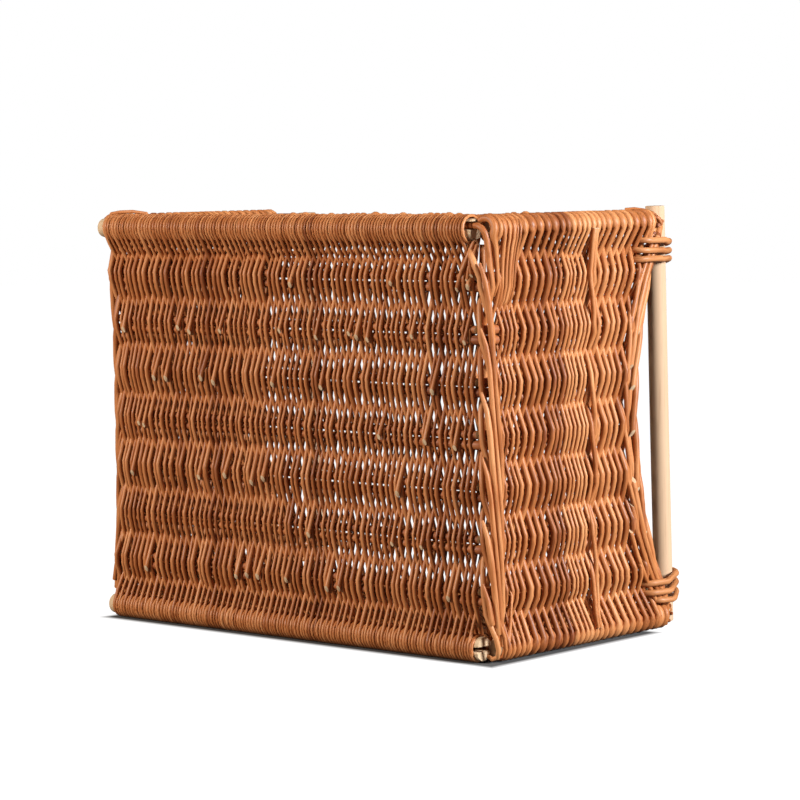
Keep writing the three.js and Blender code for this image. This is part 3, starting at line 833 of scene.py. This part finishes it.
# Edge sticks: thick rods, split at their right ends where a strand is held
def edgeStick(name, node, z, left, right, radius, splitLength, splitWidth, splitLevel, splay):
    splitStart, halfSplit = right - splitLength, splitWidth / 2

    def shaft(start, end, cutLevel=None, keep=1):
        part = roundBar(radius, 24, Matrix.Rotation(math.pi / 2, 3, "Y"), Vector((end - start, 0, 0)),
                        max(2, round((end - start) / 5)))
        bmesh.ops.translate(part, verts=part.verts, vec=(start * mm, 0, 0))
        if cutLevel is not None:
            cut = bmesh.ops.bisect_plane(part, geom=part.verts[:] + part.edges[:] + part.faces[:], dist=1e-7,
                                         plane_co=(0, 0, cutLevel * mm), plane_no=(0, 0, keep),
                                         clear_inner=True)
            edges = [g for g in cut["geom_cut"] if isinstance(g, bmesh.types.BMEdge)]
            bmesh.ops.holes_fill(part, edges=edges, sides=0)  # the flat face of the split
        easeRims(part, 0.5)
        # the big flat faces become even triangles, none without area
        bmesh.ops.triangulate(part, faces=[f for f in part.faces if len(f.verts) > 5], ngon_method="BEAUTY")
        return asMesh(part, "shaft")

    shells = [shaft(left, splitStart)]
    for way, end in ((1, right), (-1, right - 0.8)):
        shell = shaft(splitStart - 0.5, end, splitLevel + way * halfSplit, way)
        for v in shell.vertices:  # the halves spring apart towards the end, and their cut ends are rough
            share = clamp((v.co.x / mm - splitStart) / splitLength, 0, 1)
            v.co.z += way * splay * share * mm
            if share > 0.9:
                v.co.x += 0.5 * mm * math.sin(v.co.y / mm * 1.3 + v.co.z / mm * 2.1)
        shells.append(shell)
    bm = bmesh.new()
    for shell in shells:
        bm.from_mesh(shell)
    bmesh.ops.translate(bm, verts=bm.verts, vec=(0, basePlane * mm, z * mm))
    mesh = asMesh(bm, name)
    spots = np.zeros(len(mesh.vertices) * 3)
    mesh.vertices.foreach_get("co", spots)
    x, y, level = spots.reshape(-1, 3).T
    nearest = np.minimum(x - left * mm, right * mm - x)
    ends = np.clip(1 - (nearest - 8 * mm) / (3 * mm), 0, 1)  # the bark is off the last bit
    fromSplit = np.abs(level - (z + splitLevel) * mm)
    inside = (x > (splitStart - 1) * mm) & (fromSplit < (halfSplit + 0.6) * mm)
    writeLook(mesh, np.stack([y - basePlane * mm, level, x], axis=1), np.full(len(x), 0.55),
              np.maximum(ends, inside * 0.6))
    finishPiece(name, mesh, stakeWillow, [node], sharp=40)


stickReach = side - 4.7
edgeSticks = {
    "upper": {"z": high, "left": -stickReach - 4, "right": stickReach - 2.5, "radius": 8.0, "splitLength": 28,
              "splitWidth": 5.6, "splitLevel": 2.9, "splay": 0.4},
    "lower": {"z": low, "left": 0.5 - stickReach, "right": stickReach + 1, "radius": 8.4, "splitLength": 26,
              "splitWidth": 1.6, "splitLevel": 0, "splay": 1.3},
}
for label, stick in edgeSticks.items():
    edgeStick(f"edge_stick_{label}", f"base_edge_stick_{label}", **stick)
print("sticks done")

# Rim borders: the stakes laid down along the mouth, each over the next two and cut off outside
rimRod = {"radius": 2.9, "inside": -4.2, "outwards": 8.6, "start": -5.5, "rise": 9.5, "fall": 8.5, "risen": 0.16,
          "fallsFrom": 0.4, "crossesAt": 0.42}
rimCore = ((-4.6, 0.0, 3.0), (3.6, -0.4, 3.2))  # the rods that the others lie over


def rimBorder(name, node, curve, length, stops, seed, cutEnds=()):
    # curve(s) gives the rim's middle, the way towards the mouth and the way outwards at a distance s along it
    rng = random.Random(seed)
    strands, gap = [], stops[1] - stops[0]
    for stop in [stops[0] - 2 * gap, stops[0] - gap] + stops:
        reach = gap * rng.uniform(2.25, 2.5)
        points, radii = [], []
        for i in range(23):
            share = i / 22
            s = stop + reach * share
            if s < 2 or s > length - 2:
                continue
            centre, mouth, outward = curve(s)
            risen = min(1, share / rimRod["risen"])
            fall = rimRod["fall"] * max(0, share - rimRod["fallsFrom"]) / (1 - rimRod["fallsFrom"])
            rise = rimRod["start"] + rimRod["rise"] * risen - fall
            out = rimRod["inside"] + rimRod["outwards"] / (1 + math.exp(-(share - rimRod["crossesAt"]) * 12))
            points.append(centre + mouth * rise + outward * (out * risen + rng.uniform(-0.15, 0.15)))
            radii.append(rimRod["radius"] * (1.08 - 0.2 * share))
        if len(points) < 5:
            continue
        outward = curve(min(length, stop + reach))[2]
        strands.append(strand(points, radii, rng, cuts=[(-1, tuple(outward), 1.35)]))
    for offset, out, radius in rimCore:
        points = []
        for i in range(int(length / 9) + 1):
            centre, mouth, outward = curve(min(length, i * 9.0 + 1))
            points.append(centre + mouth * offset + outward * (out + 1.2 * math.sin(i * 0.9)))
        strands.append(strand(points, radius, rng))
    for start, end, radius in cutEnds:  # they run past the corner posts on both sides
        for way in (1, -1):
            path = inBetween([(way * x, y, z) for x, y, z in (start, end)], 8)
            # a dark tone and no pale cut face: painted shade, for the rods that lie in the shadow of the handle and
            # its lashings
            strands.append(strand(path, [radius] * 7 + [radius * 0.9, radius * 0.55], rng, tone=0.2, pale=0))
    makeStrands(name, strands, borderWillow, [node])


def shortRimCurve(sign):
    parts = 60
    heights = [high - i * (high - low) / parts for i in range(parts + 1)]
    samples = [Vector((sign * side, dippedRim(z), z)) for z in heights]
    lengths = [0.0]
    for a, b in zip(samples, samples[1:]):
        lengths.append(lengths[-1] + (b - a).length)

    def curve(s):
        k = next((i for i in range(parts) if lengths[i + 1] >= s), parts - 1)
        share = (s - lengths[k]) / (lengths[k + 1] - lengths[k])
        along = (samples[k + 1] - samples[k]).normalized()
        mouth = Vector((0, 1, 0)) - along * along.y
        return samples[k].lerp(samples[k + 1], share), mouth.normalized(), Vector((sign, 0, 0))
    return curve, lengths[-1], [lengths[round(parts * (high - z) / (high - low))] for z in pairLevels[::-1]]


def longRimCurve(sign):
    z, inset = high if sign > 0 else low, 11

    def curve(s):
        return Vector((s - side + inset, straightRim(z), z)), Vector((0, 1, 0)), Vector((0, 0, sign))
    return curve, 2 * (side - inset), [x + side - inset for x in longPlaces]


# cut ends past the corner posts: from, to and the radius
borderEnds = {
    "upper": (((186, 222, high + 5), (220, 217, high + 5), 2.8), ((188, 226, high - 2), (222, 218, high - 2), 3.0),
              ((190, 224, high - 8), (219, 216, high - 8.5), 2.6), ((184, 232, high + 3), (220, 226, high + 1), 2.6)),
    "lower": (((180, 226, low + 2), (220, 233, low + 7), 2.6), ((182, 226, low - 2), (223, 231, low + 1), 2.5),
              ((184, 224, low - 6), (222, 229, low - 5), 2.6), ((186, 230, low - 8), (216, 233, low - 8.5), 2.4)),
}
for label, sign in shortSides:
    rimBorder(f"short_rim_{label}", f"short_rim_border_{label}", *shortRimCurve(sign), 51)
for label, sign in longSides:
    rimBorder(f"long_rim_{label}", f"long_rim_border_{label}", *longRimCurve(sign), 53, borderEnds[label])
print("rims done")

# Handles: peeled round wood
handle = {"radius": 8.0, "inset": 15, "foot": 9.5, "heads": {"right": 13.5, "left": 8}, "rings": 26, "segments": 28}


def handleDepth(z):
    return straightRim(z) + basket["rimRadius"] + basket["clearance"] + handle["radius"]


def grainMaterial():
    material, tree, shader = newMaterial("peeled_dowel")
    place = addNode(tree, "TexCoord").outputs["Object"]
    woods = {"Pale": (0.55, 0.36, 0.225, 1), "Line": (0.4, 0.23, 0.125, 1)}
    grain = addNode(tree, "Group", {"Place": place, **woods}, node_tree=grainGroup).outputs
    fillInputs(tree, shader, {
        "Base Color": grain["Colour"], "Roughness": remap(tree, grain["Grain"], 0.3, 0.7, 0.55, 0.7),
        "Specular IOR Level": 0.12, "Normal": bumped(tree, grain["Grain"], 0.25, 0.0002)})
    return material


dowelWood = grainMaterial()
for label, sign in shortSides:
    start, end = (Vector((sign * (side - handle["inset"]), handleDepth(z), z))
                  for z in (low - handle["foot"], high + handle["heads"][label]))
    turned = (end - start).to_track_quat("Z", "Y").to_matrix()
    bm = roundBar(handle["radius"], handle["segments"], turned, end - start, handle["rings"])
    easeRims(bm, 0.7)
    bmesh.ops.translate(bm, verts=bm.verts, vec=(start + Vector((0, basePlane, 0))) * mm)
    for v in bm.verts:  # peeled wood is never quite round
        v.co.x += 0.12 * mm * math.sin(v.co.z * 21 + sign)
    finishPiece(f"handle_{label}", asMesh(bm, f"handle_{label}"), dowelWood,
                [f"handle_dowel_{label}"], sharp=35)
print("handles done")

# Lashings: one strand, three turns round the rim and the handle
lashing = {"radius": 2.35, "pitch": 7.4, "turns": 3, "ease": 0.4, "steps": 48, "border": 11.3,
           "depths": {"upper": (12, 14, 16.5), "lower": (-1, 10, 14)}}
lashReach = lashing["radius"] / math.cos(math.pi / 6)
away = lashReach + lashing["ease"]


def lashLevel(end, turn):
    border = high if end > 0 else low
    return border - end * (lashing["border"] + basket["clearance"] + lashReach + lashing["pitch"] * turn)


for name, end in longSides:
    for label, sign in shortSides:
        rng = random.Random(70 + end + 3 * sign)
        steps, depths, points = lashing["steps"], lashing["depths"][name], []
        for i in range(steps // 2, steps // 2 + lashing["turns"] * steps + 1):
            angle = 2 * math.pi * i / steps
            climb = min(2 * (i % steps) / steps, 1)
            z = lashLevel(end, i // steps - 1 + climb)
            slope = (2 * basket["rimDip"] * levelShare(z) - basket["rimLean"] / 2) / ((high - low) / 2)
            turn = i / steps - 0.5
            k = min(1, int(turn))
            depth = mix(depths[k], depths[k + 1], min(1, turn - k))
            # laid taut round three circles: a stake with its weavers, the rim and the handle
            circles = [(side, dippedRim(lashLevel(end, 1)) - depth, stakeRadius + 3.8 + away),
                       (side, dippedRim(z), basket["rimRadius"] * math.hypot(1, slope) + away),
                       (side - handle["inset"], handleDepth(z), handle["radius"] + away)]
            x, y, r = max(circles, key=lambda c: c[0] * math.cos(angle) + c[1] * math.sin(angle) + c[2])
            fan = (1 - turn) * (0.5 + 0.5 * math.sin(angle)) * 0.2 + 0.5 * math.sin(i * 0.17 + end)
            points.append((sign * (x + r * math.cos(angle)), y + r * math.sin(angle), z + end * fan))
        radii = [lashing["radius"] * (1.12 + 0.07 * math.sin(i * 0.23 + end)) for i in range(len(points))]
        makeStrands(f"lashing_{name}_{label}_strand", [strand(points, radii, rng, tone=0.62)], lashWillow,
                    [f"lashing_{name}_{label}"], sides=10)
print("lashings done")

# Floor, light and camera
bm = bmesh.new()
bmesh.ops.create_grid(bm, x_segments=1, y_segments=1, size=6)
floorMesh = asMesh(bm, "studio_floor")
newObject("studio_floor", floorMesh)
floorMaterial, tree, shader = newMaterial("pale_floor")
fillInputs(tree, shader, {"Base Color": (0.1, 0.1, 0.1, 1), "Roughness": 0.9, "Specular IOR Level": 0.1})
# plain white away from the basket, dark round it: the floor's own colour is dark and only its white glow to the
# camera fades in past the basket's footprint, so the dark band there is painted contact shadow over the lamps' real
# shadow; axis, middle and half width of that part
place = addNode(tree, "SeparateXYZ", {0: addNode(tree, "TexCoord").outputs["Object"]}).outputs
beyond = []
for axis, middle, half in (("X", 0.008, 0.212), ("Y", -0.03, 0.1)):
    fromMiddle = math2(tree, "ABSOLUTE", math2(tree, "SUBTRACT", place[axis], middle))
    beyond.append(math2(tree, "SUBTRACT", fromMiddle, half))
# the glow fades in from 4 to 13 mm past that part, which sets the width of the painted contact shadow
away = remap(tree, math2(tree, "MAXIMUM", *beyond), 0.004, 0.013)
seen = addNode(tree, "LightPath").outputs["Is Camera Ray"]
glow = addNode(tree, "Emission", {"Strength": math2(tree, "MULTIPLY", seen, away)})
both = addNode(tree, "AddShader", {0: shader.outputs[0], 1: glow.outputs[0]})
fillInputs(tree, tree.nodes["Material Output"], {"Surface": both.outputs[0]})
floorMesh.materials.append(floorMaterial)

world = bpy.data.worlds.new("studio")
bpy.context.scene.world = world
world.use_nodes = True
tree = world.node_tree
seen = addNode(tree, "LightPath").outputs["Is Camera Ray"]
fillInputs(tree, tree.nodes["Background"], {"Color": (1, 1, 1, 1), "Strength": math2(tree, "MAXIMUM", seen, 0.062)})


def softbox(name, place, target, size, power, colour=(1, 1, 1)):
    light = bpy.data.lights.new(name, "AREA")
    light.color = colour
    light.shape = "RECTANGLE"
    light.size, light.size_y = size
    light.energy = power
    lamp = newObject(name, light)
    lamp.location = place
    lamp.rotation_mode = "QUATERNION"
    lamp.rotation_quaternion = (Vector(target) - Vector(place)).to_track_quat("-Z", "Y")


softbox("key_softbox", (2.45, 0.35, 1.0), (0.1, 0, 0.18), (0.6, 0.6), 131, (0.94, 1.0, 1.05))
softbox("front_softbox", (-0.85, -2.45, 1.1), (0, 0, 0.18), (0.6, 0.5), 82, (1.0, 0.94, 0.86))
softbox("top_softbox", (0.3, 0.1, 2.4), (0, 0, 0.2), (0.8, 0.8), 9)

shot = {"place": (1.6866, -1.8885, 0.3890), "yaw": -41.52, "pitch": -4.51, "roll": -0.82, "lens": 133.47}
turned = Matrix.Identity(3)
for angle, axis in ((-shot["yaw"], "Z"), (90 + shot["pitch"], "X"), (shot["roll"], "Z")):
    turned = turned @ Matrix.Rotation(math.radians(angle), 3, axis)
cameraData = bpy.data.cameras.new("photo_camera")
cameraData.sensor_width = 36
cameraData.lens = shot["lens"]
cameraData.clip_start, cameraData.clip_end = 0.05, 50
camera = newObject("photo_camera", cameraData)
camera.rotation_mode = "QUATERNION"
camera.rotation_quaternion = turned.to_quaternion()
camera.location = shot["place"]
bpy.context.scene.camera = camera
bpy.context.scene.view_settings.view_transform = "Standard"

print("scene ready")
